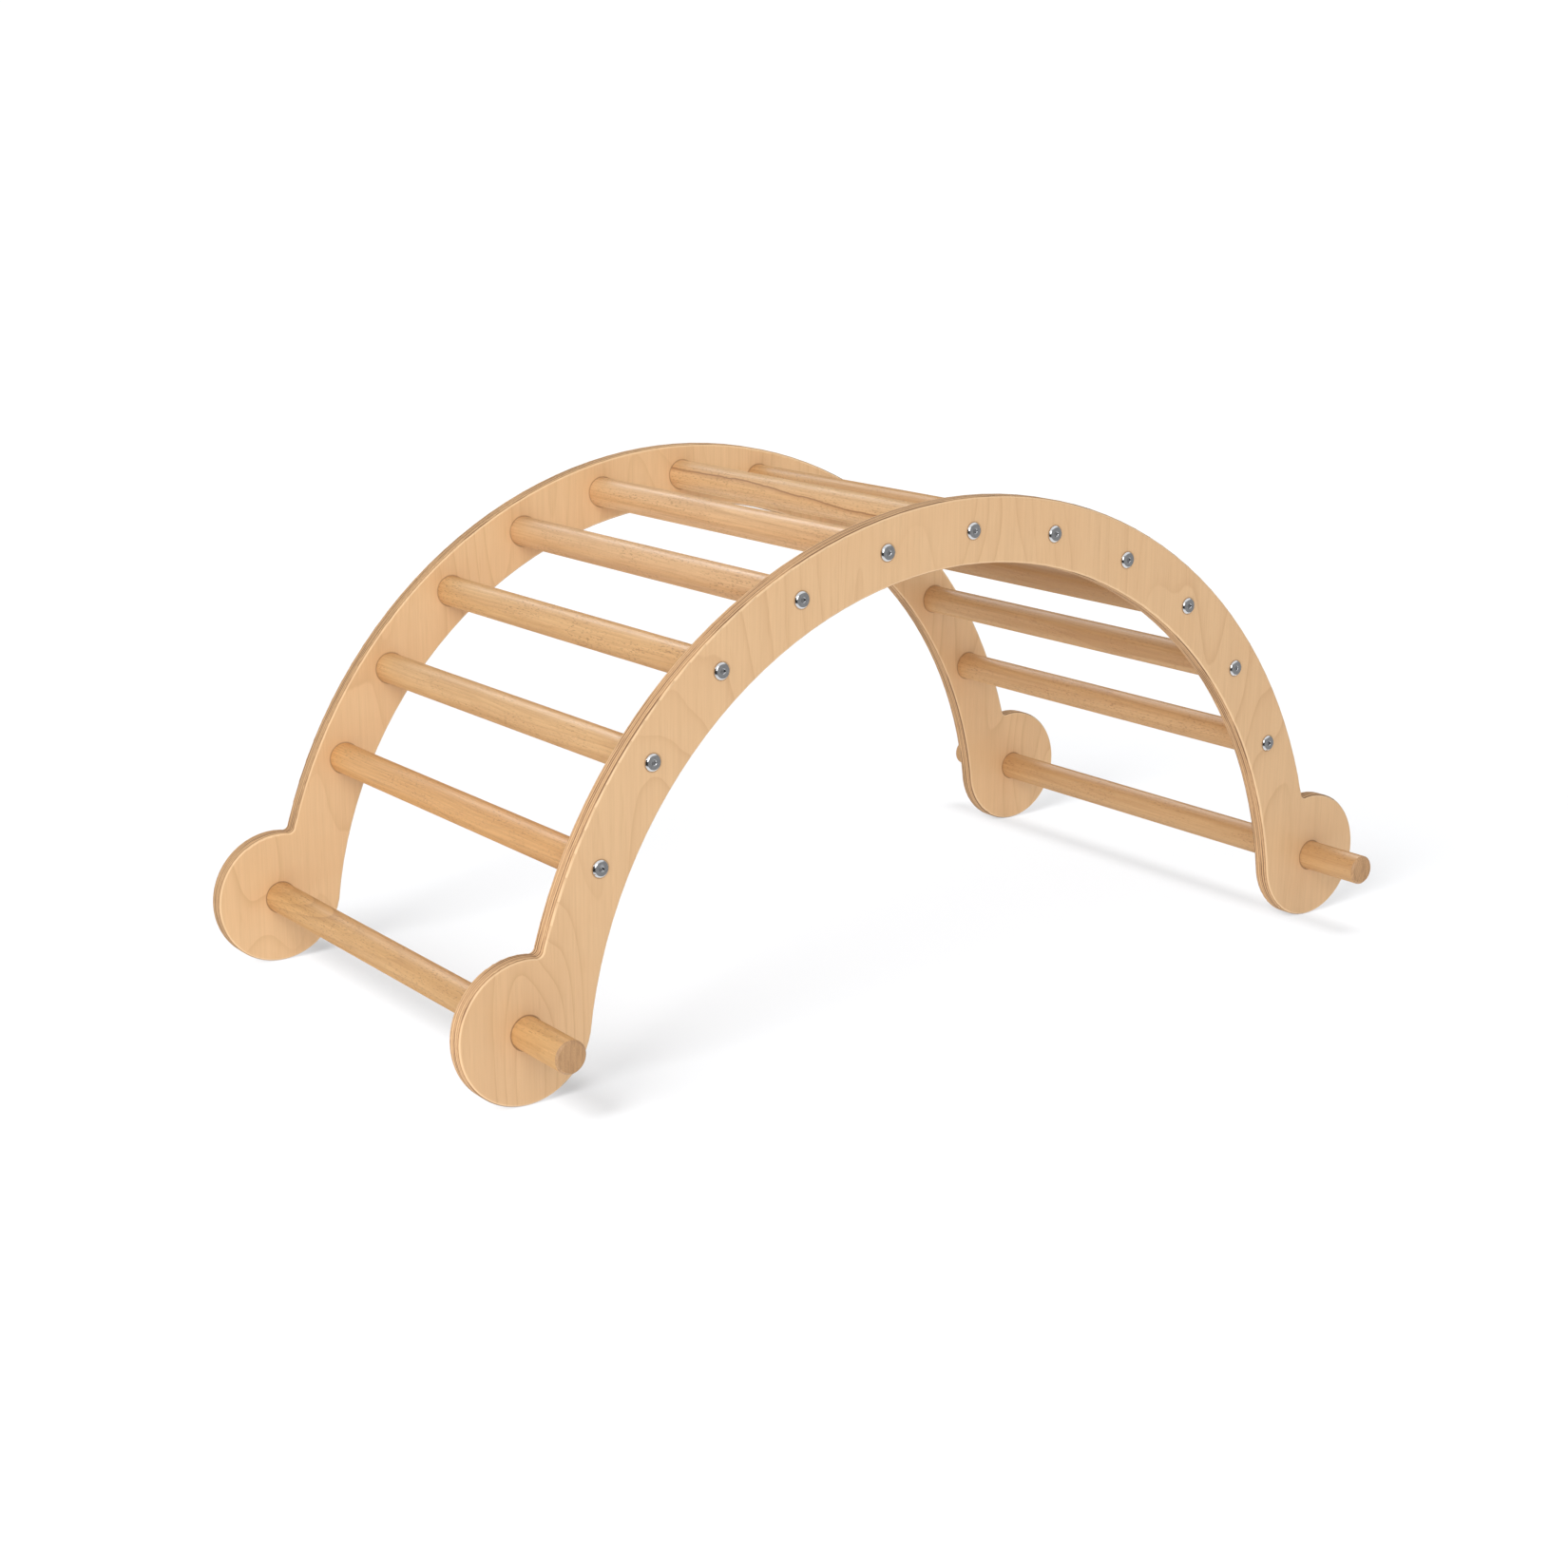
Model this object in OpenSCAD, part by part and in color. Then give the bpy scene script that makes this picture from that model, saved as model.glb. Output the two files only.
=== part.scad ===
// Wooden rocker arch for climbing, crawling through and rocking.
//
// Two plywood side panels, each an arch band with a round foot at both ends,
// are held apart by eleven bolted rungs and by two longer end bars that pass
// through the feet and stand out on both sides as pegs. Turned over, the
// panels' outer curves become the rockers.
//
// X runs along the arch, Y along the rungs and Z up. The origin is on the
// floor under the middle of the arch, and the front panel faces -Y.

/* [Arch] */
// Radius of the circle that the rungs' centres lie on
rung_circle_r = 474; // [450:1:500]
// Width of the arch band, measured along a radius
band_w = 66; // [56:1:80]
// Thickness of the plywood side panels
panel_t = 18; // [15:0.5:24]
// Distance between the outer faces of the two side panels
frame_w = 522; // [400:1:700]
// Radius of the rounded edges of the side panels
edge_r = 3; // [1:0.5:4]

/* [Feet] */
// Diameter of the round foot at each end of a side panel
foot_d = 138; // [110:1:160]
// Angle of a foot's centre from the top of the arch, in degrees
foot_angle = 82.4; // [80:0.1:85]
// Radius of the hollow where a foot meets the outside of the arch
crook_r = 6; // [4:0.5:10]

/* [Rungs] */
// Diameter of the rungs
rung_d = 32; // [26:0.5:38]
// Angle between one rung and the next, in degrees
rung_pitch = 12.84; // [11:0.01:13.2]
// Depth of the shallow pockets that the rung ends stand in
pocket_depth = 6; // [3:0.5:8]
// Gap round a rung in its pocket
pocket_gap = 0.1; // [0.05:0.05:0.5]
// Bevel on the ends of the rungs
rung_bevel = 1; // [0.5:0.25:2.5]

/* [End bars] */
// Diameter of the end bars where they pass through the feet
end_bar_d = 32; // [26:0.5:38]
// Length of each peg, from the side panel's outer face to its end
peg_l = 76; // [40:0.5:120]
// How much thinner than the hole the pegs are sanded, on the radius
peg_relief = 0.25; // [0.2:0.05:0.5]
// Gap round an end bar in its foot
bar_gap = 0.1; // [0.05:0.05:0.3]
// Bevel on the ends of the pegs
peg_bevel = 2; // [1:0.25:4]

/* [Bolts] */
// Diameter of the bolts' thread
bolt_d = 6; // [5:0.5:8]
// Length of a bolt under its head
bolt_l = 35; // [30:1:45]
// Diameter of the flat bolt head
bolt_head_d = 17; // [13:0.5:22]
// Height of the bolt head above the panel
bolt_head_h = 2.4; // [2:0.1:4]
// Width of the sloping rim of the bolt head
bolt_rim = 1.6; // [0.8:0.1:2.4]
// Width across the flats of the hex socket
socket_w = 4; // [3:0.5:5]
// Depth of the hex socket
socket_depth = 1.8; // [1:0.1:3]
// Gap round a bolt in its hole through the panel
bolt_gap = 0.5; // [0.25:0.25:1]

/* [Threaded inserts] */
// Outside diameter of the insert nut in each rung end
insert_d = 10; // [9:0.5:13]
// Length of the insert nut
insert_l = 18; // [12:1:22]
// Depth of the insert nut below the rung's end
insert_sink = 1; // [0.5:0.5:3]
// Gap between an insert nut and what it touches, on the radius
insert_gap = 0.05; // [0.05:0.05:0.1]

/* [Hidden] */
RUNGS = 11;
OVER = 1;          // how far a cutter runs past the face that it opens
LET_IN = 0.2;      // how far touching curves are let into each other
STOCK = 8;         // stock left past a rounded edge for its cutter to remove
BAND_SHORT = 5;    // the band's outside ends this many degrees before a foot's middle
BOLT_TIP_ROOM = 3; // empty bore past the tip of a bolt
BIG_FN = 240;      // facets round the arch
FOOT_FN = 144;     // facets round a foot
ROD_FN = 64;       // facets round a rung, a bar or a hole for one
SMALL_FN = 40;     // facets round a bolt, an insert or a rounded edge

outer_r = rung_circle_r + band_w / 2;
inner_r = rung_circle_r - band_w / 2;
foot_r = foot_d / 2;

// The foot's circle meets the inside of the band, so that the inner curve of
// the arch runs on into the foot, and the hollow's circle meets the outside of
// the band and the foot. Each is let in a little past where the curves touch,
// so that their edges cross.
foot_arm = inner_r + foot_r - LET_IN;
crook_arm = outer_r + crook_r - LET_IN;
crook_to_foot = foot_r + crook_r - LET_IN;
crook_turn = acos((crook_arm * crook_arm + foot_arm * foot_arm - crook_to_foot * crook_to_foot)
    / (2 * crook_arm * foot_arm));
crook_angle = foot_angle - crook_turn;

// Middles of the right foot and its hollow on the flat panel
foot_mid = foot_arm * [sin(foot_angle), cos(foot_angle)];
crook_mid = crook_arm * [sin(crook_angle), cos(crook_angle)];

// The feet stand on the floor, which sets the height of the arch's centre.
centre_z = foot_r - foot_mid[1];

face_y = frame_w / 2;
pocket_floor = panel_t - pocket_depth;
rung_l = frame_w - 2 * pocket_floor;
bolt_bore_l = bolt_l - pocket_floor + BOLT_TIP_ROOM;
socket_corner_d = socket_w / cos(30);

// Angle of a rung from the top of the arch: rung 1 is at the left
function rung_angle(i) = (i - (RUNGS + 1) / 2) * rung_pitch;
function rung_name(i) = str("rung_", i < 10 ? "0" : "", i);
// Middle of a rung, as [x, z]
function rung_spot(i) = rung_circle_r * [sin(rung_angle(i)), cos(rung_angle(i))] + [0, centre_z];

// Section of a ring or a disc, from one radius to another across the panel's
// thickness, with the corners of its outer edge rounded.
module edge_section(from_r, to_r) {
    translate([from_r, 0])
        square([to_r - edge_r - from_r, panel_t]);
    translate([from_r, edge_r])
        square([to_r - from_r, panel_t - 2 * edge_r]);
    for (y = [edge_r, panel_t - edge_r])
        translate([to_r - edge_r, y])
            circle(r = edge_r, $fn = SMALL_FN);
}

// Cuts a round opening of radius r and rounds both its edges: a disc that
// flares out at the panel's two faces.
module opening_cutter(r, facets) {
    rotate_extrude($fn = facets)
        difference() {
            translate([0, -OVER])
                square([r + edge_r, panel_t + 2 * OVER]);
            translate([2 * r + STOCK, 0])
                mirror([1, 0])
                    edge_section(0, r + STOCK);
        }
}

// The curved band, with stock left inside for the arch's opening to be cut in.
// It is a ring that ends inside each foot, along a line that keeps clear of
// the end bar's hole.
module band_stock() {
    short_angle = foot_angle - BAND_SHORT;
    inner_end = (inner_r - STOCK / 2) * [sin(foot_angle), cos(foot_angle)];
    outer_end = (outer_r + STOCK) * [sin(short_angle), cos(short_angle)];
    far = 2 * outer_r;
    difference() {
        rotate_extrude($fn = BIG_FN)
            edge_section(inner_r - STOCK, outer_r);
        translate([0, 0, -OVER])
            linear_extrude(panel_t + 2 * OVER)
                polygon([
                    inner_end, outer_end, [far, outer_end[1]], [far, -far],
                    [-far, -far], [-far, outer_end[1]], [-outer_end[0], outer_end[1]],
                    [-inner_end[0], inner_end[1]]]);
    }
}

module foot() {
    translate(foot_mid)
        rotate_extrude($fn = FOOT_FN)
            edge_section(0, foot_r);
}

// Stock in the corner between the outside of the band and a foot.
module crook_stock() {
    to_arch = -crook_mid / crook_arm * (crook_r + STOCK);
    to_foot = (foot_mid - crook_mid) / crook_to_foot * (crook_r + STOCK);
    linear_extrude(panel_t)
        polygon([crook_mid, crook_mid + to_arch, crook_mid + to_arch + to_foot, crook_mid + to_foot]);
}

// One side panel lying flat: its outer face is at z = 0, and its inner face,
// with the rung pockets, is at z = panel_t.
module flat_panel() {
    difference() {
        union() {
            band_stock();
            for (side = [0, 1])
                mirror([side, 0, 0]) {
                    foot();
                    crook_stock();
                }
        }
        opening_cutter(inner_r, BIG_FN);
        for (side = [0, 1])
            mirror([side, 0, 0]) {
                translate(crook_mid)
                    opening_cutter(crook_r, ROD_FN);
                translate([foot_mid[0], foot_mid[1], -OVER])
                    cylinder(d = end_bar_d + 2 * bar_gap, h = panel_t + 2 * OVER, $fn = ROD_FN);
            }
        for (i = [1:RUNGS])
            rotate([0, 0, -rung_angle(i)])
                translate([0, rung_circle_r, 0])
                    rung_seat();
    }
}

// The blind pocket for a rung's end and the bolt hole through its floor.
module rung_seat() {
    translate([0, 0, pocket_floor])
        cylinder(d = rung_d + 2 * pocket_gap, h = pocket_depth + OVER, $fn = ROD_FN);
    translate([0, 0, -OVER])
        cylinder(d = bolt_d + 2 * bolt_gap, h = panel_t, $fn = SMALL_FN);
}

// A side panel stood up at the back, with its outer face to the rear.
module standing_panel() {
    translate([0, face_y, centre_z])
        rotate([90, 0, 0])
            flat_panel();
}

module front_side_panel() {
    color("burlywood")
        mirror([0, 1, 0])
            standing_panel();
}

module rear_side_panel() {
    color("burlywood")
        standing_panel();
}

module rung(i) {
    spot = rung_spot(i);
    color("peru")
        translate([spot[0], -rung_l / 2, spot[1]])
            rotate([-90, 0, 0])
                difference() {
                    bevelled_rod(rung_d / 2, rung_l, rung_bevel);
                    insert_bore();
                    translate([0, 0, rung_l])
                        mirror([0, 0, 1])
                            insert_bore();
                }
}

// A round rod standing on z = 0 with both ends bevelled.
module bevelled_rod(r, l, bevel) {
    rotate_extrude($fn = ROD_FN)
        polygon([[0, 0], [r - bevel, 0], [r, bevel], [r, l - bevel], [r - bevel, l], [0, l]]);
}

// The stepped hole in a rung's end for the insert nut and the bolt's tip.
module insert_bore() {
    translate([0, 0, -OVER])
        cylinder(d = insert_d + 2 * insert_gap, h = OVER + insert_sink + insert_l, $fn = SMALL_FN);
    translate([0, 0, -OVER])
        cylinder(d = bolt_d + 2 * bolt_gap, h = OVER + bolt_bore_l, $fn = SMALL_FN);
}

// A bar right through both feet. It fills the feet's holes, and from each
// panel's outer face on it is sanded a little thinner as a peg.
module end_bar(side) {
    r = end_bar_d / 2;
    peg_r = r - peg_relief;
    half_l = face_y + peg_l;
    color("peru")
        translate([side * foot_mid[0], 0, foot_r])
            rotate([-90, 0, 0])
                rotate_extrude($fn = ROD_FN)
                    polygon([
                        [0, -half_l], [peg_r - peg_bevel, -half_l], [peg_r, peg_bevel - half_l],
                        [peg_r, -face_y], [r, -face_y], [r, face_y], [peg_r, face_y],
                        [peg_r, half_l - peg_bevel], [peg_r - peg_bevel, half_l], [0, half_l]]);
}

module left_end_bar() {
    end_bar(-1);
}

module right_end_bar() {
    end_bar(1);
}

// Puts a piece at every rung's end, on one panel's outer face and with its
// own z axis pointing away from the arch. The front panel is side -1.
module at_rung_ends(side) {
    for (i = [1:RUNGS]) {
        spot = rung_spot(i);
        translate([spot[0], side * face_y, spot[1]])
            rotate([-90 * side, 0, 0])
                children();
    }
}

// A flat-headed bolt: the underside of its head is at z = 0, and the bolt
// goes down from there.
module bolt() {
    head_r = bolt_head_d / 2;
    rim_h = bolt_rim / 2;
    difference() {
        rotate_extrude($fn = SMALL_FN)
            polygon([
                [0, -bolt_l], [bolt_d / 2, -bolt_l], [bolt_d / 2, 0], [head_r, 0],
                [head_r, bolt_head_h - rim_h], [head_r - bolt_rim, bolt_head_h], [0, bolt_head_h]]);
        translate([0, 0, bolt_head_h - socket_depth])
            cylinder(d = socket_corner_d, h = socket_depth + OVER, $fn = 6);
    }
}

// The insert nut, sunk a little below the end of the rung.
module insert() {
    translate([0, 0, -pocket_floor - insert_sink - insert_l])
        difference() {
            cylinder(d = insert_d, h = insert_l, $fn = SMALL_FN);
            translate([0, 0, -OVER])
                cylinder(d = bolt_d + 2 * insert_gap, h = insert_l + 2 * OVER, $fn = SMALL_FN);
        }
}

module front_bolts() {
    color("silver")
        at_rung_ends(-1)
            bolt();
}

module rear_bolts() {
    color("silver")
        at_rung_ends(1)
            bolt();
}

module front_inserts() {
    color("darkgray")
        at_rung_ends(-1)
            insert();
}

module rear_inserts() {
    color("darkgray")
        at_rung_ends(1)
            insert();
}

front_side_panel();
rear_side_panel();
for (i = [1:RUNGS])
    rung(i);
left_end_bar();
right_end_bar();
front_bolts();
rear_bolts();
front_inserts();
rear_inserts();
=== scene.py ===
"""Wooden rocker arch: finishes, bolts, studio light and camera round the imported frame.

Everything is in metres in the frame of the CAD: X along the arch, Y along the
rungs, Z up. The side panels are birch plywood, the rungs and the end bars are
beech, and the bolts are zinc-plated steel. Colours are linear red, green and
blue, with alpha where there is a fourth number.
"""
import math

import bpy
import numpy as np
from mathutils import Matrix, Vector


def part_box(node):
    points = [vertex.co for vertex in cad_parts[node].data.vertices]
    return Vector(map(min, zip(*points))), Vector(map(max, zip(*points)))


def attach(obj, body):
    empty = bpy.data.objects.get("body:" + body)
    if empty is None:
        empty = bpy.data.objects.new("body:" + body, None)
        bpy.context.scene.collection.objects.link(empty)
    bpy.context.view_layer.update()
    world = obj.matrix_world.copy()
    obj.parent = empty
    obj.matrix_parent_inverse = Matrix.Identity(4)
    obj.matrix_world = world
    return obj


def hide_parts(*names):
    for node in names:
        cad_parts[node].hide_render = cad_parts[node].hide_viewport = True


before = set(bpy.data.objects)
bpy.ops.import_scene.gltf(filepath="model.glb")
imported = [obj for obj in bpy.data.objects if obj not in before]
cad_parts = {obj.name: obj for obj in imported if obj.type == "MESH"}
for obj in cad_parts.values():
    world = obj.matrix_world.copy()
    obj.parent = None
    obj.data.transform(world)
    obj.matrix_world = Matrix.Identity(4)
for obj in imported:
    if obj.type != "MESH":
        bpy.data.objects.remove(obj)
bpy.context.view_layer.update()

MM = 0.001
PANELS = ["front_side_panel", "rear_side_panel"]
RUNGS = ["rung_%02d" % n for n in range(1, 12)]
BARS = ["left_end_bar", "right_end_bar"]

# Sizes repeated from the CAD source
PANEL_T = 18 * MM
RUNG_CIRCLE_R = 474 * MM
RUNG_PITCH = math.radians(12.84)
HOLE_R = 16.1 * MM           # of the holes for rungs and bars
HEAD_R = 8.5 * MM
HEAD_H = 2.4 * MM
SHANK_R = 3.0 * MM
SHANK_L = 35 * MM
SOCKET_W = 4 * MM
SOCKET_DEPTH = 1.8 * MM

# The plies, which only the finish shows
FACE_PLY = 1.6 * MM          # the two outer veneers are thinner than the core plies
CORE_PLIES = 5
CORE_PLY = (PANEL_T - 2 * FACE_PLY) / CORE_PLIES


def middle(node):
    """The middle of a CAD node's box."""
    low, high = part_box(node)
    return (Vector(low) + Vector(high)) / 2


FACE_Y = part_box("rear_side_panel")[1][1]              # outer face of a side panel
ARCH_Z = middle("rung_06").z - RUNG_CIRCLE_R          # height of the arch's centre


# ---------------------------------------------------------------- node wiring

class Wires:
    """Lays out one node tree. Each call adds nodes and returns an output."""

    def __init__(self, tree):
        self.tree = tree

    def feed(self, socket, value):
        """Links an output to the socket, or sets the socket's own value."""
        if isinstance(value, bpy.types.NodeSocket):
            self.tree.links.new(value, socket)
        else:
            socket.default_value = value

    def node(self, kind, inputs=(), **settings):
        """Adds a node, whose inputs are {socket: output or value}."""
        made = self.tree.nodes.new("ShaderNode" + kind)
        for name, value in settings.items():
            setattr(made, name, value)
        for name, value in dict(inputs).items():
            self.feed(made.inputs[name], value)
        return made

    def group(self, tree, inputs):
        made = self.tree.nodes.new("ShaderNodeGroup")
        made.node_tree = tree
        for name, value in inputs.items():
            self.feed(made.inputs[name], value)
        return made.outputs

    def math(self, operation, *values):
        made = self.node("Math", operation=operation)
        for place, value in enumerate(values):
            self.feed(made.inputs[place], value)
        return made.outputs[0]

    def add(self, a, b):
        return self.math("ADD", a, b)

    def less(self, a, b):
        return self.math("SUBTRACT", a, b)

    def times(self, a, b):
        return self.math("MULTIPLY", a, b)

    def size(self, a):
        return self.math("ABSOLUTE", a)

    def reach(self, a, b):
        """The distance over two legs at right angles."""
        return self.math("SQRT", self.add(self.times(a, a), self.times(b, b)))

    def ramp(self, value, low, high, to_low=0.0, to_high=1.0, curve="SMOOTHSTEP"):
        """Runs from to_low to to_high as the value goes from low to high."""
        made = self.node("MapRange", interpolation_type=curve)
        for place, number in enumerate((value, low, high, to_low, to_high)):
            self.feed(made.inputs[place], number)
        return made.outputs[0]

    def fall(self, value, low, high):
        """Runs from 1 down to 0 as the value goes from low to high."""
        return self.ramp(value, low, high, 1.0, 0.0)

    def held(self, value, low, high):
        """The value, kept between low and high."""
        return self.ramp(value, low, high, low, high, "LINEAR")

    def split(self, vector):
        return self.node("SeparateXYZ", {"Vector": vector}).outputs

    def join(self, x, y, z):
        return self.node("CombineXYZ", {"X": x, "Y": y, "Z": z}).outputs[0]

    def stretch(self, vector, scale):
        """The vector times a scale for X, Y and Z."""
        return self.node("Mapping", {"Vector": vector, "Scale": scale}).outputs[0]

    def moved(self, vector, by):
        """The vector plus a distance in X, Y and Z."""
        return self.node("Mapping", {"Vector": vector, "Location": by}).outputs[0]

    def noise(self, vector, detail=2.0, roughness=0.5):
        return self.node("TexNoise", {
            "Vector": vector, "Scale": 1.0, "Detail": detail, "Roughness": roughness}).outputs[0]

    def lumps(self, vector, per_metre, **look):
        """Noise with so many lumps per metre in each direction."""
        return self.noise(self.stretch(vector, per_metre), **look)

    def blend(self, share, a, b):
        """Colour a where the share is 0, and b where it is 1."""
        made = self.node("Mix", data_type="RGBA")
        for place, value in ((0, share), (6, a), (7, b)):
            self.feed(made.inputs[place], value)
        return made.outputs[2]

    def stain(self, tone, mask, colour, most=1.0):
        """Lays a colour over the tone where the mask is, as strongly as most."""
        return self.blend(self.times(mask, most), tone, colour)


def new_group(name, inputs, outputs):
    """An empty node group: inputs and outputs are {name: kind of socket}."""
    tree = bpy.data.node_groups.new(name, "ShaderNodeTree")
    for way, sockets in (("INPUT", inputs), ("OUTPUT", outputs)):
        for label, kind in sockets.items():
            tree.interface.new_socket(label, in_out=way, socket_type="NodeSocket" + kind)
    given = tree.nodes.new("NodeGroupInput").outputs
    out = tree.nodes.new("NodeGroupOutput").inputs
    return tree, Wires(tree), given, out


def new_material(name, **fixed):
    """A material with one Principled BSDF, whose constant sockets are set here."""
    made = bpy.data.materials.new(name)
    made.use_nodes = True
    surface = made.node_tree.nodes["Principled BSDF"]
    for label, value in fixed.items():
        surface.inputs[label.replace("_", " ")].default_value = value
    return made, Wires(made.node_tree), surface.inputs


def tinted(colour, tint):
    """A colour times a tint for red, green and blue."""
    return (*(part * share for part, share in zip(colour, tint)), 1)


def dress(node, material):
    """Gives a carried-over CAD node its finish."""
    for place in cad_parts[node].material_slots:
        place.material = material


# ---------------------------------------------------------------- wood figure

def veneer_figure():
    """Rotary-cut veneer seen flat. Vector is (across, seed, along) in metres.

    Growth lines are the contours of a slow noise that is drawn out along the
    grain: its value times a number of rings, less the whole part, rises across
    each ring and falls back sharply at its dark late wood. Long fibres, short
    open pores, a cloudy shimmer and a few pin marks go on top.
    """
    tree, w, given, out = new_group(
        "veneer figure", {"Vector": "Vector", "Rings": "Float"},
        {"Growth": "Float", "Fibre": "Float", "Pores": "Float", "Shimmer": "Float", "Pin": "Float"})
    vector = given["Vector"]

    slow = w.lumps(vector, (10.5, 1.0, 2.4), detail=0.8, roughness=0.35)
    waver = w.lumps(vector, (60.0, 3.0, 16.0), detail=3.0)
    ring = w.math("FRACT", w.add(w.times(slow, given["Rings"]), w.times(waver, 0.14)))
    late = w.times(w.math("POWER", ring, 13.0), w.ramp(ring, 0.998, 0.96))
    halo = w.times(w.math("POWER", ring, 3.0), w.ramp(ring, 0.998, 0.90))
    lines = w.add(w.times(late, 0.8), w.times(halo, 0.2))
    patchy = w.lumps(vector, (9.0, 2.0, 2.5), detail=1.0)
    w.feed(out["Growth"], w.times(lines, w.ramp(patchy, 0.36, 0.60, 0.25, 1.0)))

    broad = w.lumps(vector, (170.0, 5.0, 4.5), detail=3.0, roughness=0.6)
    fine = w.lumps(vector, (620.0, 9.0, 12.0), roughness=0.6)
    w.feed(out["Fibre"], w.add(w.times(fine, 0.55), w.times(broad, 0.45)))
    dashes = w.lumps(vector, (700.0, 9.0, 34.0), detail=1.0, roughness=0.4)
    w.feed(out["Pores"], w.ramp(dashes, 0.60, 0.74))
    w.feed(out["Shimmer"], w.lumps(vector, (15.0, 2.0, 26.0), roughness=0.55))

    # A pin mark sits in the middle of one cell in seven.
    cell = w.node("TexVoronoi", {"Vector": w.stretch(vector, (14.0, 40.0, 7.0)), "Scale": 1.0})
    spot = w.fall(cell.outputs["Distance"], 0.015, 0.045)
    chosen = w.math("GREATER_THAN", w.split(cell.outputs["Color"])[0], 0.86)
    w.feed(out["Pin"], w.times(spot, chosen))
    return tree


def beech_figure():
    """Beech turned to a rod, solid through the rod. Vector is from the rod's middle.

    Growth rings are cylinders round a pith that lies off the rod and leans
    along it, so that they meet the surface in long pointed arches and show as
    arcs on the sawn ends. Ray flecks are short dark dashes along the grain.
    """
    tree, w, given, out = new_group(
        "beech figure",
        {"Vector": "Vector", "Pith X": "Float", "Pith Z": "Float",
         "Lean X": "Float", "Lean Z": "Float", "Ring": "Float"},
        {"Growth": "Float", "Fleck": "Float", "Bands": "Float", "Fibre": "Float"})
    vector = given["Vector"]
    x, y, z = w.split(vector)

    wander = w.lumps(vector, (4.0, 5.0, 4.0), detail=1.0)
    sway = w.times(w.less(wander, 0.5), 10 * MM)
    across = w.add(w.less(x, given["Pith X"]), w.add(w.times(y, given["Lean X"]), sway))
    depth = w.add(w.less(z, given["Pith Z"]), w.add(w.times(y, given["Lean Z"]), sway))
    rings = w.math("DIVIDE", w.reach(across, depth), given["Ring"])
    ring = w.math("FRACT", rings)
    late = w.times(w.math("POWER", ring, 2.5), w.ramp(ring, 1.0, 0.9))
    year = w.noise(w.join(w.times(w.math("FLOOR", rings), 3.7), 0.0, 0.0), detail=0.0)
    w.feed(out["Growth"], w.times(late, w.ramp(year, 0.3, 0.7, 0.35, 1.0)))

    dashes = w.lumps(vector, (850.0, 200.0, 850.0), detail=1.0, roughness=0.4)
    spread = w.lumps(vector, (45.0, 10.0, 45.0), detail=1.0)
    w.feed(out["Fleck"], w.times(w.ramp(dashes, 0.58, 0.67), w.ramp(spread, 0.38, 0.60, 0.25, 1.0)))
    broad = w.lumps(vector, (85.0, 2.4, 85.0))
    narrow = w.lumps(vector, (330.0, 6.0, 330.0), roughness=0.55)
    w.feed(out["Bands"], w.add(w.times(broad, 0.6), w.times(narrow, 0.4)))
    w.feed(out["Fibre"], w.lumps(vector, (900.0, 22.0, 900.0), roughness=0.6))
    return tree


VENEER = veneer_figure()
BEECH = beech_figure()


# ---------------------------------------------------------------- birch plywood

VENEER_RINGS = 15.0                        # growth lines over the noise's whole range
PLY_SEED, SIDE_SEED = 7.31, 3.17           # steps that give each ply its own figure
VENEER_DEEP, VENEER_PALE = (0.692, 0.444, 0.240, 1), (0.740, 0.480, 0.261, 1)
VENEER_SHIMMER = (0.705, 0.436, 0.228, 1)
VENEER_RING = (0.50, 0.275, 0.125, 1)
VENEER_PORE = (0.44, 0.235, 0.10, 1)
VENEER_PIN = (0.30, 0.14, 0.06, 1)
END_GRAIN_DEEP, END_GRAIN_PALE = (0.42, 0.235, 0.115, 1), (0.60, 0.375, 0.20, 1)
MIDDLE_PLY = 3                             # the plies are numbered 0 to 6
MIDDLE_PLY_TONE = (0.46, 0.255, 0.125, 1)
# Pale arris line: partly sanding, partly a painted highlight
SANDED_AND_HIGHLIT = (0.90, 0.67, 0.42, 1)
GLUE = (0.22, 0.11, 0.05, 1)
# Painted shade inside the gaps that open along the glue lines
GAP_SHADE = (0.12, 0.055, 0.025, 1)
# Partly a burnt line at the holes, partly painted contact shade round the rods and under the bolt
# heads
SCORCH_AND_SHADE = (0.25, 0.115, 0.045, 1)


def glue_lines(w, x, z, layer):
    """Masks of the glue lines, and of the long gaps that open along them.

    Glue lines lie at the whole values of layer, and the outermost two are the
    darkest. A slow noise, drawn separately for each line, opens the gaps.
    """
    nearest = w.math("ROUND", w.held(layer, 0.0, CORE_PLIES))
    off_line = w.times(w.size(w.less(layer, nearest)), CORE_PLY)
    outward = w.size(w.less(nearest, CORE_PLIES / 2))
    strength = w.ramp(outward, CORE_PLIES / 2 - 0.6, CORE_PLIES / 2 - 0.1, 0.85, 1.0)
    glue = w.times(w.fall(off_line, 0.15 * MM, 0.65 * MM), strength)
    along = w.join(w.times(x, 9.0), w.times(nearest, 5.3), w.times(z, 9.0))
    opened = w.ramp(w.noise(along), 0.50, 0.57)
    return glue, w.times(opened, w.fall(off_line, 0.45 * MM, 0.95 * MM))


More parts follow.
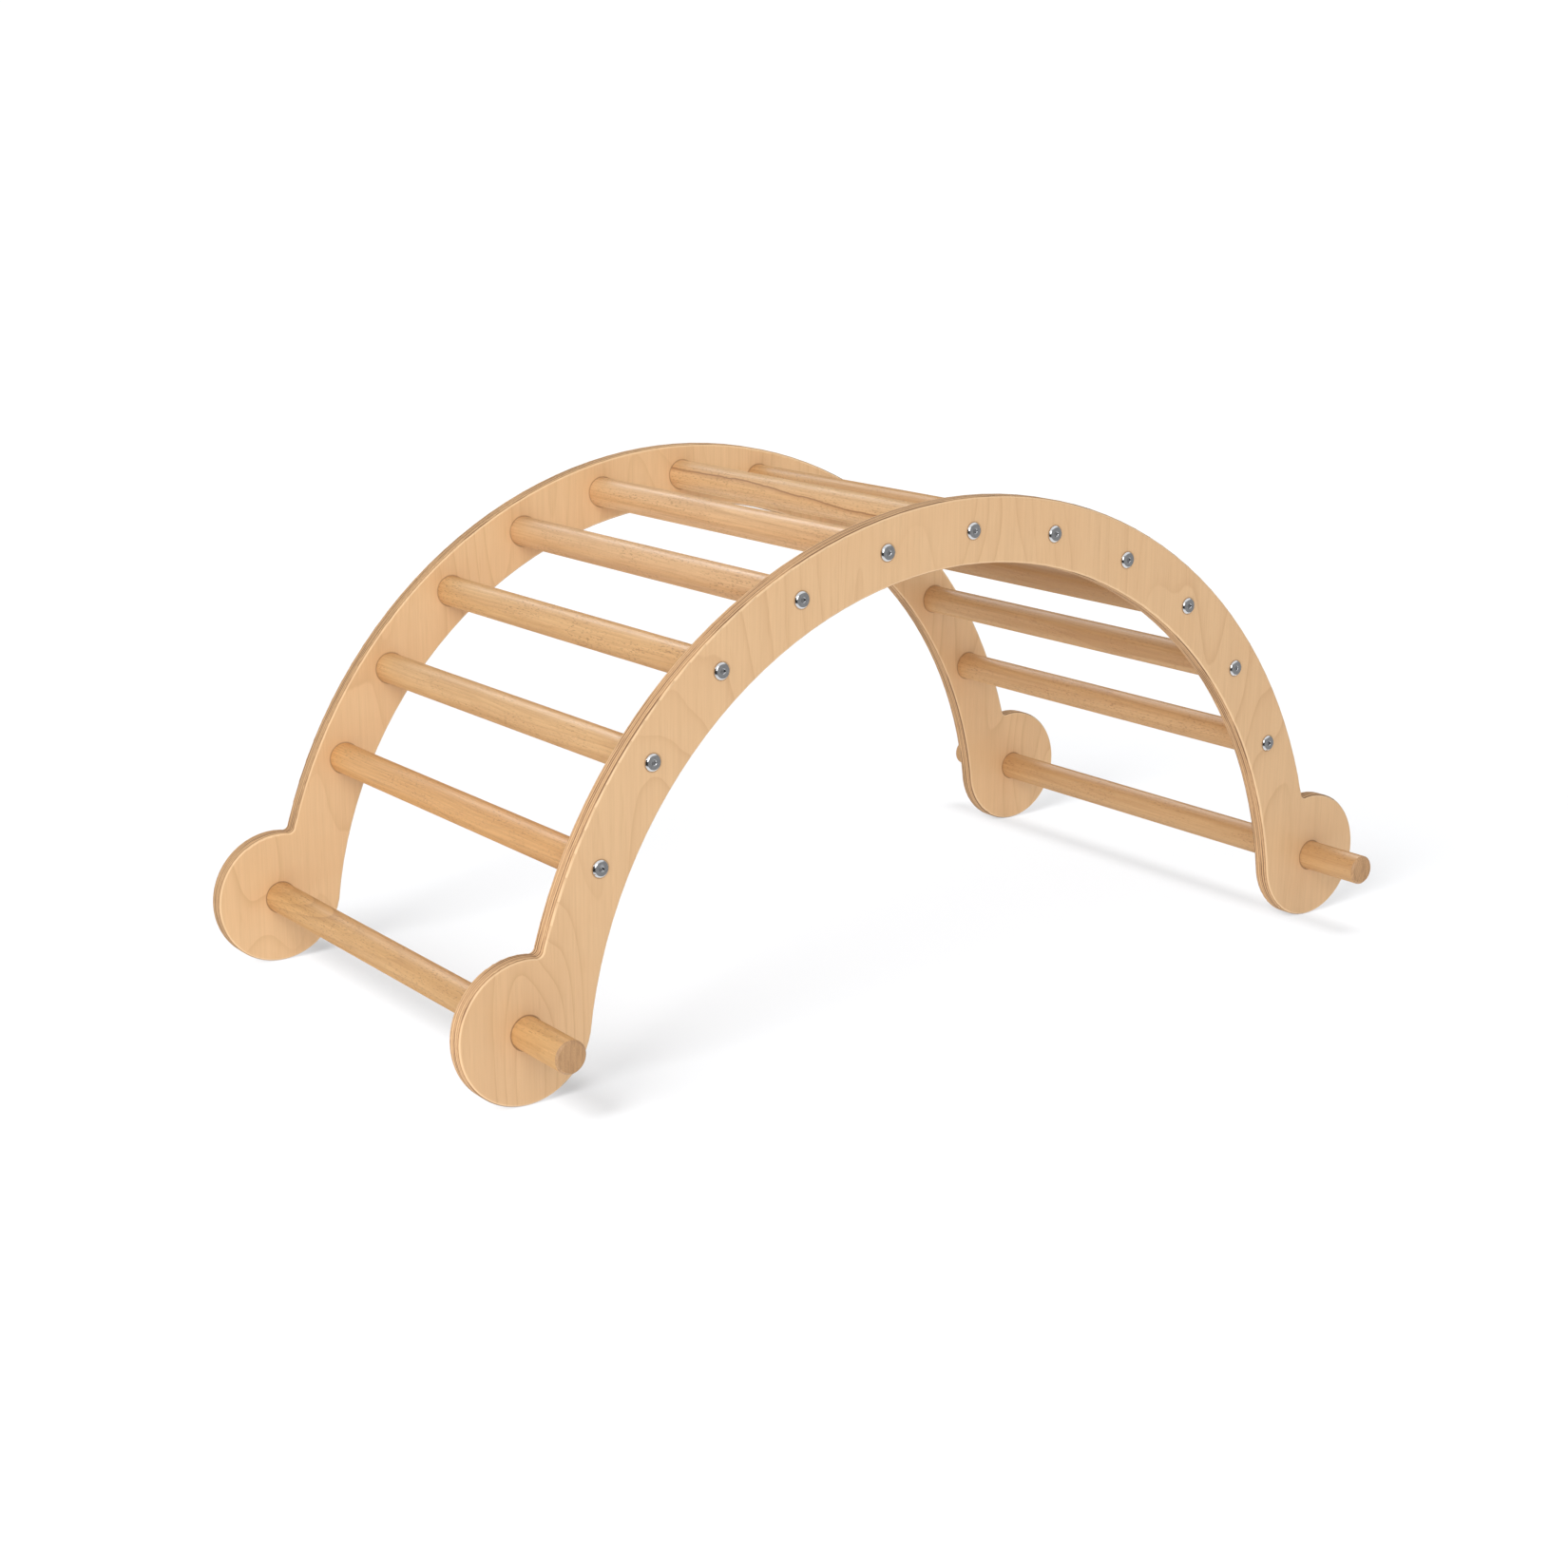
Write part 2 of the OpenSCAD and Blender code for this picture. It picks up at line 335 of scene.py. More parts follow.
def round_the_holes(w, x, z, depth):
    """How dark the wood is round each drilled hole and under each head. Round the rung and bar
    holes this is partly a dark line burnt into the hole's edge and partly painted contact shade
    where the rod meets the panel. Round the bolt heads on the outer face it is painted shade.

    The angle from the arch's middle is folded into one rung's share, and the
    distance to that rung's centre is compared with the hole's radius, or with
    the bolt head's on the outer face. The feet are folded onto the right one.
    """
    rise = w.less(z, ARCH_Z)
    arm = w.reach(x, rise)
    turn = w.math("ARCTAN2", x, rise)
    folded = w.math("WRAP", turn, RUNG_PITCH / 2, -RUNG_PITCH / 2)
    aside = w.times(arm, w.math("SINE", folded))
    out_by = w.less(w.times(arm, w.math("COSINE", folded)), RUNG_CIRCLE_R)
    from_rung = w.reach(aside, out_by)
    bar = middle("right_end_bar")
    from_bar = w.reach(w.less(w.size(x), bar.x), w.less(z, bar.z))

    has_rungs = w.math("LESS_THAN", w.size(turn), RUNG_PITCH * len(RUNGS) / 2)
    inner_half = w.math("GREATER_THAN", depth, PANEL_T / 2)
    at_rung = w.times(w.fall(from_rung, HOLE_R + 0.5 * MM, HOLE_R + 1.7 * MM),
                      w.times(has_rungs, inner_half))
    at_bar = w.fall(from_bar, HOLE_R + 0.5 * MM, HOLE_R + 1.5 * MM)
    # Painted shade round each bolt head on the outer face
    head_shade = w.times(w.fall(from_rung, HEAD_R + 0.3 * MM, HEAD_R + 1.3 * MM),
                      w.times(has_rungs, w.less(1.0, inner_half)))
    # Round the rung and bar holes: partly a burnt dark line, partly painted contact shade
    hole_scorch_and_shade = w.math("MAXIMUM", w.times(at_rung, 0.50), w.times(at_bar, 0.66))
    return w.math("MAXIMUM", hole_scorch_and_shade, w.times(head_shade, 0.45))


def birch_plywood():
    """Seven crossed plies: which ply a point is in follows from its depth under
    the outer face, and its grain runs along Z in the faces and every second
    ply, and along X in the others. A cut edge darkens as it turns to end grain.
    """
    made, w, surface = new_material("birch_plywood_oiled", IOR=1.45)
    coordinate = w.node("TexCoord").outputs
    x, y, z = w.split(coordinate["Object"])
    facing_x, facing_y, facing_z = (w.size(part) for part in w.split(coordinate["Normal"]))

    # The layer is 0 at the first glue line and grows by 1 with each core ply.
    depth = w.less(FACE_Y, w.size(y))
    layer = w.math("DIVIDE", w.less(depth, FACE_PLY), CORE_PLY)
    number = w.add(w.math("FLOOR", w.held(layer, -0.9, CORE_PLIES + 0.9)), 1.0)
    crossed = w.math("MODULO", number, 2.0)
    seed = w.add(w.times(number, PLY_SEED), w.times(w.math("SIGN", y), SIDE_SEED))
    laid = w.node("Mix", data_type="VECTOR")
    for place, value in ((0, crossed), (4, w.join(x, seed, z)), (5, w.join(z, seed, x))):
        w.feed(laid.inputs[place], value)
    figure = w.group(VENEER, {"Vector": laid.outputs[1], "Rings": VENEER_RINGS})

    tone = w.blend(w.ramp(figure["Fibre"], 0.34, 0.66), VENEER_DEEP, VENEER_PALE)
    tone = w.stain(tone, w.ramp(figure["Shimmer"], 0.35, 0.7), VENEER_SHIMMER, most=0.34)
    tone = w.stain(tone, figure["Growth"], VENEER_RING, most=0.62)
    tone = w.stain(tone, figure["Pores"], VENEER_PORE, most=0.10)
    tone = w.stain(tone, figure["Pin"], VENEER_PIN, most=0.5)

    # On the cut edge, the plies whose grain meets it end-on and the middle ply are dark.
    edge = w.fall(facing_y, 0.35, 0.9)
    end_on = w.add(w.times(facing_z, w.less(1.0, crossed)), w.times(facing_x, crossed))
    sawn = w.lumps(coordinate["Object"], (260.0, 900.0, 260.0), detail=3.0, roughness=0.65)
    end_grain = w.blend(w.ramp(sawn, 0.3, 0.7), END_GRAIN_DEEP, END_GRAIN_PALE)
    tone = w.stain(tone, w.times(w.math("POWER", end_on, 1.4), edge), end_grain, most=0.9)
    central = w.ramp(w.size(w.less(number, MIDDLE_PLY)), 0.5, 1.5, 1.0, 0.1)
    tone = w.stain(tone, w.times(edge, central), MIDDLE_PLY_TONE, most=0.34)

    # The rounded edge gets a thin pale line beside the face: partly sanded wood, partly a painted
    # highlight on the arris.
    arris = w.times(w.ramp(facing_y, 0.70, 0.82), w.ramp(facing_y, 0.98, 0.93))
    tone = w.stain(tone, arris, SANDED_AND_HIGHLIT, most=0.34)
    glue, gap = glue_lines(w, x, z, layer)
    tone = w.stain(tone, glue, GLUE, most=0.66)
    # Painted shade: the gaps along the glue lines are coloured near black
    tone = w.stain(tone, gap, GAP_SHADE, most=0.66)
    # Darker round the holes, partly burnt wood and partly painted contact shade, and painted shade
    # round the bolt heads
    tone = w.stain(tone, round_the_holes(w, x, z, depth), SCORCH_AND_SHADE)
    w.feed(surface["Base Color"], tone)

    oiled = w.ramp(figure["Fibre"], 0.3, 0.7, 0.42, 0.52)
    w.feed(surface["Roughness"], w.add(oiled, w.times(edge, 0.45)))
    raised = w.less(w.times(figure["Fibre"], 0.6), w.times(figure["Growth"], 0.25))
    height = w.less(raised, w.add(w.times(glue, 0.8), w.times(gap, 2.0)))
    bump = w.node("Bump", {"Height": height, "Strength": 0.35, "Distance": 0.06 * MM})
    w.feed(surface["Normal"], bump.outputs[0])
    return made


PLY = birch_plywood()
for panel in PANELS:
    dress(panel, PLY)


# ---------------------------------------------------------------- beech rods

BEECH_PALE, BEECH_DEEP = (0.750, 0.460, 0.216), (0.600, 0.328, 0.134)
BEECH_RING = (0.38, 0.175, 0.068, 1)
BEECH_FIBRE = (0.42, 0.215, 0.09, 1)
BEECH_FLECK = (0.28, 0.12, 0.045, 1)
HEARTWOOD, HEARTWOOD_SHADE = (0.29, 0.12, 0.05, 1), (0.42, 0.19, 0.08, 1)
SAWN_DEEP, SAWN_PALE = (0.37, 0.205, 0.10), (0.52, 0.31, 0.155)
SAWN_RAY = (0.27, 0.14, 0.065, 1)
SAWN_RING = (0.23, 0.115, 0.055, 1)
PLAIN_CUT = {"Pith X": 0.0, "Pith Z": 0.0, "Lean X": 0.0, "Lean Z": 0.0, "Ring": 1.0}

# Each rod's tone against the beech's own, for red, green and blue. They were matched rod by rod to
# how bright each rod looked, so they carry some light and shade: the low tone of rung_09 is partly
# painted shade, for the front panel's shadow on it.
TONES = {
    "rung_01": (1.06, 0.99, 0.87), "rung_02": (1.02, 1.04, 1.05), "rung_03": (1.04, 1.06, 1.06),
    "rung_04": (1.03, 1.06, 1.17), "rung_05": (1.10, 1.16, 1.30), "rung_06": (1.12, 1.22, 1.38),
    "rung_07": (1.03, 1.04, 1.04), "rung_08": (0.95, 0.95, 0.96), "rung_09": (0.69, 0.66, 0.64),
    "rung_10": (0.86, 0.86, 0.88), "rung_11": (0.95, 0.97, 1.01),
    "left_end_bar": (0.99, 0.98, 0.91), "right_end_bar": (0.92, 0.93, 0.95)}
# How pale the sawn ends are, where it isn't 1
SAWN_ENDS = {"right_end_bar": 1.2}


def heartwood_streak(w, tone, local, streak):
    """A dark line that winds along the rung's outer side, with a shade below it.

    Its height is a rise, plus a slope along the rung, plus a sway times the
    sine of 17 radians a metre, plus a small noise.
    """
    rise, slope, sway = streak
    x, y, z = w.split(local)
    wave = w.times(w.math("SINE", w.times(y, 17.0)), sway)
    trace = w.noise(w.join(0.0, w.times(y, 16.0), 0.0), detail=3.0)
    small = w.times(w.less(trace, 0.5), 6 * MM)
    line = w.add(w.add(w.times(y, slope), rise), w.add(wave, small))
    below = w.less(line, z)
    outer_side = w.ramp(x, 4 * MM, -2 * MM)
    band = w.fall(w.size(below), 0.3 * MM, 1.1 * MM)
    tone = w.stain(tone, w.times(band, outer_side), HEARTWOOD, most=0.70)
    under = w.times(w.ramp(below, 0.0, 5.0 * MM, 0.42, 0.0), w.math("GREATER_THAN", below, 0.0))
    return w.stain(tone, w.times(under, outer_side), HEARTWOOD_SHADE)


def sawn_ends(w, tone, coordinate, seeded, growth, paleness):
    """Darkens the ends that face along the rod, with pores, rays and the rings' arcs."""
    end = w.ramp(w.size(w.split(coordinate["Normal"])[1]), 0.45, 0.65)
    pores = w.lumps(coordinate["Object"], (1500.0, 300.0, 1500.0), roughness=0.7)
    rays = w.lumps(seeded, (520.0, 1.0, 60.0), roughness=0.6)
    deep, pale = (tinted(colour, (paleness,) * 3) for colour in (SAWN_DEEP, SAWN_PALE))
    end_tone = w.blend(w.ramp(pores, 0.35, 0.65), deep, pale)
    end_tone = w.stain(end_tone, w.ramp(rays, 0.5, 0.66), SAWN_RAY, most=0.45)
    end_tone = w.stain(end_tone, growth, SAWN_RING, most=0.6)
    return w.stain(tone, end, end_tone, most=0.9)


def beech_rod(name, centre, look):
    """Beech for one rod. Its rings are placed from the rod's own middle, and its
    bands, fibres and flecks are read at a place that no other rod shares.
    """
    made, w, surface = new_material(name, IOR=1.45, Coat_Roughness=0.3)
    coordinate = w.node("TexCoord").outputs
    seed = look["seed"]
    local = w.moved(coordinate["Object"], tuple(-centre))
    seeded = w.moved(coordinate["Object"], (seed, seed * 1.7, -seed))
    growth = w.group(BEECH, {
        "Vector": local, "Pith X": look["pith"][0], "Pith Z": look["pith"][1],
        "Lean X": look["lean"][0], "Lean Z": look["lean"][1], "Ring": look["ring"]})["Growth"]
    varied = w.group(BEECH, {"Vector": seeded, **PLAIN_CUT})

    pale, deep = (tinted(colour, look["tint"]) for colour in (BEECH_PALE, BEECH_DEEP))
    tone = w.blend(w.ramp(varied["Bands"], 0.34, 0.66, 0.08, 0.78), pale, deep)
    tone = w.stain(tone, growth, BEECH_RING, most=look["contrast"])
    tone = w.stain(tone, w.ramp(varied["Fibre"], 0.40, 0.70), BEECH_FIBRE, most=0.24)
    tone = w.stain(tone, varied["Fleck"], BEECH_FLECK, most=look["fleck"])
    if "streak" in look:
        tone = heartwood_streak(w, tone, local, look["streak"])
    tone = sawn_ends(w, tone, coordinate, seeded, growth, look["sawn"])
    w.feed(surface["Base Color"], tone)

    # Seen edge-on, the oil film has no gloss, so no bright rim runs along the rod.
    edge_on = w.ramp(w.node("LayerWeight", {"Blend": 0.5}).outputs["Facing"], 0.55, 0.80)
    w.feed(surface["Coat Weight"], w.ramp(edge_on, 0.0, 1.0, 0.12, 0.0, "LINEAR"))
    oiled = w.ramp(varied["Fibre"], 0.3, 0.7, 0.32, 0.42)
    w.feed(surface["Roughness"], w.add(oiled, w.times(edge_on, 0.50)))
    sunk = w.add(w.times(varied["Fleck"], 0.5), w.times(growth, 0.2))
    height = w.less(w.times(varied["Fibre"], 0.5), sunk)
    bump = w.node("Bump", {"Height": height, "Strength": 0.3, "Distance": 0.05 * MM})
    w.feed(surface["Normal"], bump.outputs[0])
    return made


def rod_look(index, rod, cut):
    """How one rod was cut, drawn from the generator: the pith's place and lean,
    the ring's width in metres, and how strongly its rings and flecks show.
    """
    angle = cut.uniform(0, 2 * math.pi)
    pith_off = cut.uniform(45 * MM, 160 * MM)
    look = {
        "seed": float(index * 0.61 + 0.2),
        "pith": (float(pith_off * math.cos(angle)), float(pith_off * math.sin(angle))),
        "lean": (float(cut.uniform(-0.02, 0.02)), float(cut.uniform(-0.02, 0.02))),
        "ring": float(cut.uniform(2.8 * MM, 4.2 * MM)),
        "contrast": float(cut.uniform(0.22, 0.40)),
        "fleck": float(cut.uniform(0.32, 0.52)),
        "tint": TONES[rod],
        "sawn": SAWN_ENDS.get(rod, 1.0),
    }
    if rod == "rung_06":
        look["streak"] = (4.5 * MM, 0.022, 2.2 * MM)
    if rod == "left_end_bar":
        look.update(lean=(0.10, 0.16), ring=6 * MM, contrast=0.50)
    return look


cut = np.random.default_rng(11)
for index, rod in enumerate(RUNGS + BARS):
    dress(rod, beech_rod("beech_" + rod, middle(rod), rod_look(index, rod, cut)))


# ---------------------------------------------------------------- metal

def zinc_plate():
    """Bright zinc: faint turned rings from the lathe, a soft mottle, and painted shade that darkens
    the socket.
    """
    made, w, surface = new_material("zinc_plate", Metallic=1.0)
    place = w.node("TexCoord").outputs["Object"]
    mottle = w.lumps(place, (420.0, 420.0, 420.0), detail=3.0, roughness=0.6)
    tone = w.blend(w.ramp(mottle, 0.3, 0.7), (0.60, 0.61, 0.63, 1), (0.70, 0.71, 0.73, 1))
    socket = w.node("Attribute", attribute_name="socket").outputs["Fac"]
    # Painted shade: the zinc is darker in the socket and on its chamfer
    w.feed(surface["Base Color"], w.stain(tone, socket, (0.17, 0.17, 0.18, 1), most=0.38))
    w.feed(surface["Roughness"], w.ramp(mottle, 0.3, 0.7, 0.09, 0.16))
    scratch = w.lumps(place, (900.0, 900.0, 5200.0))
    bump = w.node("Bump", {"Height": scratch, "Strength": 0.12, "Distance": 0.03 * MM})
    w.feed(surface["Normal"], bump.outputs[0])
    return made


def insert_metal():
    """Dull zinc alloy of the insert nuts, hidden in the rung ends."""
    made, w, surface = new_material("insert_alloy", Metallic=1.0)
    place = w.node("TexCoord").outputs["Object"]
    grime = w.lumps(place, (300.0, 300.0, 300.0), detail=3.0)
    tone = w.blend(w.ramp(grime, 0.3, 0.7), (0.36, 0.35, 0.32, 1), (0.50, 0.49, 0.45, 1))
    w.feed(surface["Base Color"], tone)
    w.feed(surface["Roughness"], w.ramp(grime, 0.3, 0.7, 0.38, 0.55))
    return made


# ---------------------------------------------------------------- bolts

AROUND = 48                  # points round a bolt
CREASE = math.radians(30)    # sharper edges than this stay sharp
CHAMFER_OUT = 0.8 * MM       # how far the painted shade of the socket reaches past its flats
HEAD_SEED = 5                # for the turns of the sockets, plus the side


def bolt_profile():
    """Radius, height and hexagon share of each ring of a bolt, in metres.

    It goes from the socket's floor up its six walls, over a chamfer, across
    the flat of the head, round the rim, down the side, under the head and along
    the shank to the bevelled tip. As a step goes from 0 to 1 along the rim, its
    height falls by 0.85 of the step and a quarter of the step's cube, in mm.
    """
    half = SOCKET_W / 2
    floor = HEAD_H - SOCKET_DEPTH
    socket = [
        (half * 0.45, floor - 0.25 * MM, 1), (half, floor, 1), (half, floor + 0.2 * MM, 1),
        (half, HEAD_H - 0.80 * MM, 1), (half + 0.08 * MM, HEAD_H - 0.66 * MM, 0.8),
        (half + 0.75 * MM, HEAD_H - 0.12 * MM, 0), (half + 0.95 * MM, HEAD_H - 0.05 * MM, 0)]
    flat = [
        (HEAD_R - 2.6 * MM, HEAD_H - 0.05 * MM, 0), (HEAD_R - 2.35 * MM, HEAD_H - 0.02 * MM, 0),
        (HEAD_R - 2.1 * MM, HEAD_H, 0), (HEAD_R - 1.9 * MM, HEAD_H - 0.03 * MM, 0)]
    rim = [
        (HEAD_R - 1.7 * MM + 1.35 * MM * step,
         HEAD_H - 0.12 * MM - (0.85 * step + 0.25 * step ** 3) * MM, 0)
        for step in np.linspace(0, 1, 6)]
    side_and_shank = [
        (HEAD_R - 0.10 * MM, HEAD_H - 1.5 * MM, 0), (HEAD_R, HEAD_H - 1.72 * MM, 0),
        (HEAD_R, 0.25 * MM, 0), (HEAD_R - 0.2 * MM, 0.02 * MM, 0), (SHANK_R + 0.3 * MM, 0.0, 0),
        (SHANK_R, -0.3 * MM, 0), (SHANK_R, 0.8 * MM - SHANK_L, 0),
        (SHANK_R - 0.8 * MM, -SHANK_L, 0)]
    return np.array(socket + flat + rim + side_and_shank, dtype=float)


def one_bolt(side):
    """Points, quads, end fans and socket mask of one bolt, its axis along Y.

    At angle a, a ring's point is r (cos a, sin a), where a hexagonal ring's r
    is the half width over the cosine of the angle to the nearest flat's middle.
    """
    profile = bolt_profile()
    rows = len(profile)
    a = np.arange(AROUND) * (2 * math.pi / AROUND)
    to_flat = np.mod(a + math.pi / 6, math.pi / 3) - math.pi / 6
    hexed = 1 / np.cos(to_flat)
    r = profile[:, 0:1] * (1 + profile[:, 2:3] * (hexed[None, :] - 1))
    height = np.repeat(profile[:, 1:2], AROUND, 1)
    ring = np.stack([r * np.cos(a), height, r * np.sin(a)], axis=2)
    tips = np.array([[0, HEAD_H - SOCKET_DEPTH - 0.4 * MM, 0], [0, -SHANK_L, 0]])
    points = np.concatenate([ring.reshape(-1, 3), tips])

    j, i = np.meshgrid(np.arange(rows - 1), np.arange(AROUND), indexing="ij")
    here, after = j * AROUND + i, j * AROUND + (i + 1) % AROUND
    quads = np.stack([here, here + AROUND, after + AROUND, after], axis=2).reshape(-1, 4)
    i = np.arange(AROUND)
    last_row = (rows - 1) * AROUND
    first_tip, last_tip = np.full(AROUND, rows * AROUND), np.full(AROUND, rows * AROUND + 1)
    fans = np.concatenate([
        np.stack([first_tip, i, (i + 1) % AROUND], axis=1),
        np.stack([last_tip, last_row + (i + 1) % AROUND, last_row + i], axis=1)])
    if side < 0:
        points = points * (1, -1, 1)
        quads, fans = quads[:, ::-1], fans[:, ::-1]

    # Rows in the socket and on its chamfer get painted shade in the zinc's colour
    near_axis = profile[:, 0] < SOCKET_W / 2 + CHAMFER_OUT
    in_socket = np.append(np.repeat(near_axis, AROUND), (True, False))
    in_socket[last_row:last_row + AROUND] = False
    return points, quads, fans, in_socket


def bolts(name, side, material):
    """All bolts of one panel in one mesh, each at its rung's centre and turned
    by its own angle. The attribute "socket" is 1 in the sockets and on their
    chamfers, where the zinc gets painted shade.
    """
    one, quads, fans, in_socket = one_bolt(side)
    x, y, z = one.T
    turns = np.random.default_rng(HEAD_SEED + side).uniform(0, math.pi / 3, len(RUNGS))
    points = []
    for rung, turn in zip(RUNGS, turns):
        c, s = math.cos(turn), math.sin(turn)
        centre = middle(rung)
        spun = np.stack([x * c - z * s, y, x * s + z * c], axis=1)
        points.append(spun + (centre.x, side * FACE_Y, centre.z))
    first = np.arange(len(RUNGS))[:, None, None] * len(one)
    faces = (quads + first).reshape(-1, 4).tolist() + (fans + first).reshape(-1, 3).tolist()
    mesh = bpy.data.meshes.new(name)
    mesh.from_pydata(np.concatenate(points).tolist(), [], faces)
    mesh.validate()
    mesh.shade_smooth()
    mesh.set_sharp_from_angle(angle=CREASE)
    mesh.materials.append(material)
    socket_shade = mesh.attributes.new("socket", "FLOAT", "POINT")
    socket_shade.data.foreach_set("value", np.tile(in_socket.astype(np.float32), len(RUNGS)))
    made = bpy.data.objects.new(name, mesh)
    bpy.context.scene.collection.objects.link(made)
    return made


ZINC = zinc_plate()
for name, side, node in (
        ("front_head_bolts", -1, "front_bolts"), ("rear_head_bolts", 1, "rear_bolts")):
    piece = bolts(name, side, ZINC)
    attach(piece, "root")
    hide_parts(node)
    dress(node, ZINC)

INSERT = insert_metal()
for node in ("front_inserts", "rear_inserts"):
    dress(node, INSERT)


# ---------------------------------------------------------------- studio

FLOOR_HALF = 30.0
FADE_NEAR, FADE_FAR = 1.1, 2.2       # from the middle, where the floor turns pure white
PAPER = (0.215, 0.215, 0.215, 1)     # what the floor reflects onto the arch
SHADED = (0.149, 0.150, 0.153, 1)    # the part of the floor's look that shadows take away
LIFT = 0.315                         # the part of its look that they leave
PURE_WHITE = 1.05                    # a little over 1, so that noise can't grey it
AMBIENT = 0.65                       # light from all round, against a white of 1
DARK_WALL, GREY_WALL, CEILING = 0.03, 0.32, 1.05
BACKDROP_LOW, BACKDROP_HIGH, BACK_WINDOW = 0.40, 0.65, 1.6


def studio_floor():
    """White paper, lifted to pure white for the camera but for its shadows."""
    corners = [(-FLOOR_HALF, -FLOOR_HALF, 0), (FLOOR_HALF, -FLOOR_HALF, 0),
               (FLOOR_HALF, FLOOR_HALF, 0), (-FLOOR_HALF, FLOOR_HALF, 0)]
    mesh = bpy.data.meshes.new("studio_floor")
    mesh.from_pydata(corners, [], [(0, 1, 2, 3)])
    made = bpy.data.objects.new("studio_floor", mesh)
    bpy.context.scene.collection.objects.link(made)
    made.visible_glossy = False
    material = bpy.data.materials.new("studio_white")
    material.use_nodes = True
    tree = material.node_tree
    tree.nodes.clear()
    w = Wires(tree)
    place = w.node("TexCoord").outputs["Object"]
    away = w.node("VectorMath", {0: place}, operation="LENGTH").outputs["Value"]
    seen = w.node("LightPath").outputs["Is Camera Ray"]
    paper = w.node("BsdfDiffuse", {"Color": PAPER})
    shaded = w.node("BsdfDiffuse", {"Color": SHADED})
    lift = w.node("Emission", {"Color": (1, 1, 1, 1), "Strength": LIFT})
    lifted = w.node("AddShader", {0: shaded.outputs[0], 1: lift.outputs[0]})
    glow = w.node("Emission", {"Color": (1, 1, 1, 1), "Strength": PURE_WHITE})
    near = w.node("MixShader", {0: seen, 1: paper.outputs[0], 2: lifted.outputs[0]})
    far = w.times(w.ramp(away, FADE_NEAR, FADE_FAR), seen)
    look = w.node("MixShader", {0: far, 1: near.outputs[0], 2: glow.outputs[0]})
    w.feed(w.node("OutputMaterial").inputs["Surface"], look.outputs[0])
    mesh.materials.append(material)
    return made


def studio_world():
    """Soft light from all round. Reflections see a grey backdrop behind the
    arch with a bright window at its right, a bright ceiling, and in front walls
    that are black to the left and grey to the right. The camera sees pure white.
    """
    world = bpy.data.worlds.new("studio_world")
    world.use_nodes = True
    bpy.context.scene.world = world
    w = Wires(world.node_tree)
    background = world.node_tree.nodes["Background"].inputs
    ray = w.node("LightPath").outputs
    x, y, z = w.split(w.node("TexCoord").outputs["Generated"])
    wall = w.ramp(x, -0.6, 0.2, DARK_WALL, GREY_WALL)
    front = w.ramp(w.size(z), 0.4, 0.7, wall, CEILING)
    backdrop = w.ramp(z, -0.5, 0.1, BACKDROP_LOW, BACKDROP_HIGH)
    window = w.times(w.ramp(x, -0.2, 0.3), w.ramp(z, -0.1, 0.25, 0.0, BACK_WINDOW))
    mirrored = w.ramp(y, 0.1, 0.5, front, w.add(backdrop, window))
    soft = w.ramp(ray["Is Glossy Ray"], 0.0, 1.0, AMBIENT, mirrored, "LINEAR")
    background["Color"].default_value = (1, 1, 1, 1)
    w.feed(background["Strength"],
           w.ramp(ray["Is Camera Ray"], 0.0, 1.0, soft, PURE_WHITE, "LINEAR"))


def gathered(name, pieces):
    """A collection of pieces, for a lamp to name."""
    made = bpy.data.collections.new(name)
    for piece in pieces:
        made.objects.link(piece)
    return made


def gathered_nodes(name, nodes):
    """A collection of CAD nodes, by their names."""
    return gathered(name, [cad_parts[node] for node in nodes])


def add_lamp(name, kind, towards, energy, receivers, blockers=None, distance=0.0, **settings):
    """A lamp that stands in the direction given. It lights its receivers only,
    and its blockers, if they are named, are all that cast its shadows.
    """
    lamp = bpy.data.lights.new(name, kind)
    lamp.energy = energy
    for label, value in settings.items():
        setattr(lamp, label, value)
    side = Vector(towards).normalized()
    made = bpy.data.objects.new(name, lamp)
    made.location = side * distance
    made.rotation_mode = "QUATERNION"
    made.rotation_quaternion = side.to_track_quat("Z", "Y")
    bpy.context.scene.collection.objects.link(made)
    made.light_linking.receiver_collection = receivers
    made.light_linking.blocker_collection = blockers
    return made


def add_sun(name, towards, energy, spread, receivers, blockers=None, **settings):
    """A sun whose disc is so many degrees wide."""
    return add_lamp(name, "SUN", towards, energy, receivers, blockers,
                    angle=math.radians(spread), **settings)


paper_floor = studio_floor()
studio_world()
floor_only = gathered("floor_only", [paper_floor])
not_floor = gathered("all_but_the_floor", [paper_floor])
not_floor.collection_objects[0].light_linking.link_state = "EXCLUDE"
rear_only = gathered_nodes("rear_panel_only", ["rear_side_panel"])
front_only = gathered_nodes("front_panel_only", ["front_side_panel"])
left_rods = gathered_nodes("left_rods", ["left_end_bar", *RUNGS[:6]])
glossy_rods = gathered_nodes("glossy_rods", ["left_end_bar", *RUNGS[:5]])
left_bar, right_bar = (gathered_nodes(bar + "_only", [bar]) for bar in BARS)
outline = gathered_nodes("panels_and_left_bar", [*PANELS, "left_end_bar"])

